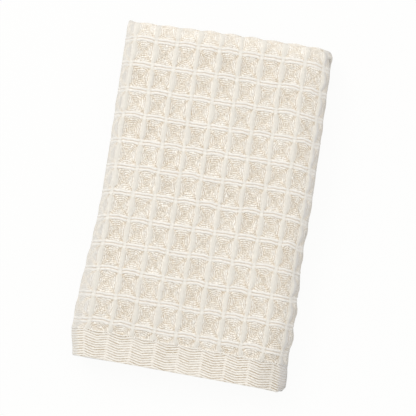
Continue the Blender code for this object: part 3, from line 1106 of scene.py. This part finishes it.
# %% Material: waffle cotton, its colour and height
ON_SIDES = 0.3
TURNED_PART = (9.12, 9.3)
RIGHT_SHADE_COLUMNS, RIGHT_SHADE_ROWS, RIGHT_PAINTED_SHADES = (8.4, 8.85), (-3.0, -11.0), (0.95, 0.9)
LEFT_PAINTED_SHADE = 0.03
WAFFLE_FUZZ = 0.07

on_sides = product(calc("ADD", on_fold, left_side), ON_SIDES)
strand_share = product(strand, lessen(on_sides))
turned = ramp(cell_x, *TURNED_PART)
colour = mix(loose, RIB_COLOUR, THREAD_COLOUR)
# The fold and side colours lay painted shade, the turned colour painted light, and the warm, gap,
# dip and groove browns painted shade.
colour = lay_colours(colour, [
    (left_side, 0.65, LEFT_SIDE_PAINTED_SHADE_COLOUR),
    (on_left, 0.95, FOLD_PAINTED_SHADE_COLOUR),
    (on_right, 0.9, mix(turned, RIGHT_FOLD_PAINTED_SHADE_COLOUR, TURNED_PAINTED_LIGHT_COLOUR)),
    (strand_share, 1.0, STRAND_COLOUR),
    (warm_painted_shade, 1.0, PIT_WARM_SHADE_COLOUR),
    (streak, 0.08, GAP_SHADE_AND_STREAK_COLOUR),
    (shade, 1.0, GAP_SHADE_AND_STREAK_COLOUR),
    (dip, 0.15, GAP_SHADE_AND_STREAK_COLOUR),
    (groove, 0.42, GROOVE_SHADE_COLOUR),
])
height = sum_up(0.0, [
    (gap, -0.2),
    (under, -0.12),
    (product(dash, open_weave), -0.10),
    (streak, -0.05),
    (groove, -0.18),
])
# Painted shade: darker along the right side, more towards the hems, and a little on the left
# side.
right_painted_shade = ramp(cell_y, *RIGHT_SHADE_ROWS, *RIGHT_PAINTED_SHADES)
tone_with_painted_shade = product(ramp(cell_x, *RIGHT_SHADE_COLUMNS, 1.0, right_painted_shade), lessen(left_side, LEFT_PAINTED_SHADE))
finish(shader, place, colour, tone_with_painted_shade, height, WAFFLE_FUZZ)
print("nodes in waffle_cotton:", len(tree.nodes))

# %% [markdown]
# ## The hem's lines
# The band is a flat twill that turns at each rib and again half way to the next, so its lines run
# in shallow Vs with their points towards the edge. Close to a rib the lines fade, and at the
# turned edge they stop. Each line is cut into short stretches, where one thread dives and the
# next one comes up. At the band's other end a row of small loops shows where it is stitched.

# %% Material: hem cotton, its lines
TWILL_RISE, TWILL_CURVE = 0.8, 0.25
WANDER_SCALE, WANDER = 3.0, 0.5
JITTER_SCALE, JITTER = 900, 0.4
LINE_SEED = 3.0
LINE_EDGE = (0.55, 0.08)
BESIDE_RIB, ON_RIB = (0.05, 0.17), (0.5, 1.0)
TURNED_EDGE = (0.1, 0.4)
HEM_ON_LEFT, HEM_ON_RIGHT, HEM_FOLD_FAINTER = (-0.15, -0.4), (8.2, 8.4), 0.5
ENDS_ACROSS, ENDS_EDGE = 14.0, (0.3, 0.0)
LOOPS_ACROSS, LOOPS_JITTER, LOOP_EDGE = 9.0, 1.2, (0.25, 0.75)
LOOPS_ROW, LOOPS_WANDER, LOOPS_EDGE = 11.9, 1.2, (0.55, 0.2)

hem, tree, shader, place = fabric("hem_cotton")
hem_x, hem_y, hem_place = uv(tree, "hem_lines")
in_x = from_line(hem_x)
wander = noise(hem_place, WANDER_SCALE)
jitter = noise(place, JITTER_SCALE, 1)
count = sum_up(hem_y, [
    (in_x, TWILL_RISE),
    (calc("SINE", product(in_x, math.pi / 2)), TWILL_CURVE),
    (wander, WANDER),
    (jitter, JITTER),
])
row = calc("ROUND", count)
off_edge = ramp(hem_y, *TURNED_EDGE)
on_left = ramp(hem_x, *HEM_ON_LEFT)
on_right = ramp(hem_x, *HEM_ON_RIGHT)
on_fold = calc("MAXIMUM", on_left, on_right)
top_row = apart(add_share(hem_y, wander, LOOPS_WANDER), LOOPS_ROW)
loop = add_share(product(hem_x, LOOPS_ACROSS), jitter, LOOPS_JITTER)
loops = product(ramp(top_row, *LOOPS_EDGE), ramp(from_line(loop), *LOOP_EDGE))
line = product(ramp(from_line(count), *LINE_EDGE),
               ramp(in_x, *BESIDE_RIB, *ON_RIB), off_edge,
               lessen(on_fold, HEM_FOLD_FAINTER), lessen(loops))
ends = add_share(product(hem_x, ENDS_ACROSS), row, 0.5)
ends = product(ramp(from_line(ends), *ENDS_EDGE), off_edge)
print("nodes so far:", len(tree.nodes))

# %% [markdown]
# ## The hem's colour and height
# No two of the lines are equally dark, and along its run each gets darker and paler again. As on
# the waffle, the lines and the stretches' ends are dents and the loops stand up. The band's folds
# take the waffle's painted fold shades, and a painted shade makes it a little darker towards its
# right end, where it turns down.

# %% Material: hem cotton, its colour and height
RUN_ACROSS = 16.0
LEAST_LINE, OWN_LINE = 0.14, 0.5
HEM_SHADE_PART, HEM_PAINTED_SHADES = (6.8, 8.0), (0.985, 0.9)
HEM_FUZZ = 0.06

half = calc("FLOOR", product(hem_x, 2.0))
own = own_number(half, row, LINE_SEED)
run = noise(vector(product(hem_x, RUN_ACROSS), row, 0.0), 1.0, 1)
shade = add_share(LEAST_LINE, calc("ADD", own, run), OWN_LINE)
colour = lay_colours(HEM_COLOUR, [
    (on_left, 0.8, FOLD_PAINTED_SHADE_COLOUR),
    (on_right, 1.0, RIGHT_FOLD_PAINTED_SHADE_COLOUR),
    (ends, 0.12, HEM_LINE_COLOUR),
    (line, shade, HEM_LINE_COLOUR),
])
height = sum_up(0.0, [(line, -0.22), (ends, -0.06), (loops, 0.15)])
# Painted shade: the band darker towards its right end.
tone_with_painted_shade = ramp(hem_x, *HEM_SHADE_PART, *HEM_PAINTED_SHADES)
finish(shader, place, colour, tone_with_painted_shade, height, HEM_FUZZ)
print("nodes in hem_cotton:", len(tree.nodes))

# %% [markdown]
# ## Dress the cloth
# A face takes the hem's finish if its middle lies in the band. The whole cloth is shaded smooth.
# Its edges keep their turn because they were modelled round.

# %% Materials on faces
HEM_FACES_END = BAND_TOP - 0.3 * MM
for material in (waffle, hem):
    cloth.data.materials.append(material)
face_start = np.empty(len(cloth.data.polygons), dtype=int)
face_count = np.empty(len(cloth.data.polygons), dtype=int)
cloth.data.polygons.foreach_get("loop_start", face_start)
cloth.data.polygons.foreach_get("loop_total", face_count)
face_from_hem = np.add.reduceat(from_hem[corner_vertex], face_start) / face_count
is_hem = (face_from_hem < HEM_FACES_END).astype(np.int32)
cloth.data.polygons.foreach_set("material_index", is_hem)
bpy.ops.object.select_all(action="DESELECT")
cloth.select_set(True)
bpy.context.view_layer.objects.active = cloth
bpy.ops.object.shade_smooth()
print("hem faces:", int(is_hem.sum()))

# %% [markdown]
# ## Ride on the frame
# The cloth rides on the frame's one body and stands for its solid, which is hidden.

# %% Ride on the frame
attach(cloth, "root")
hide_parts("washcloth")
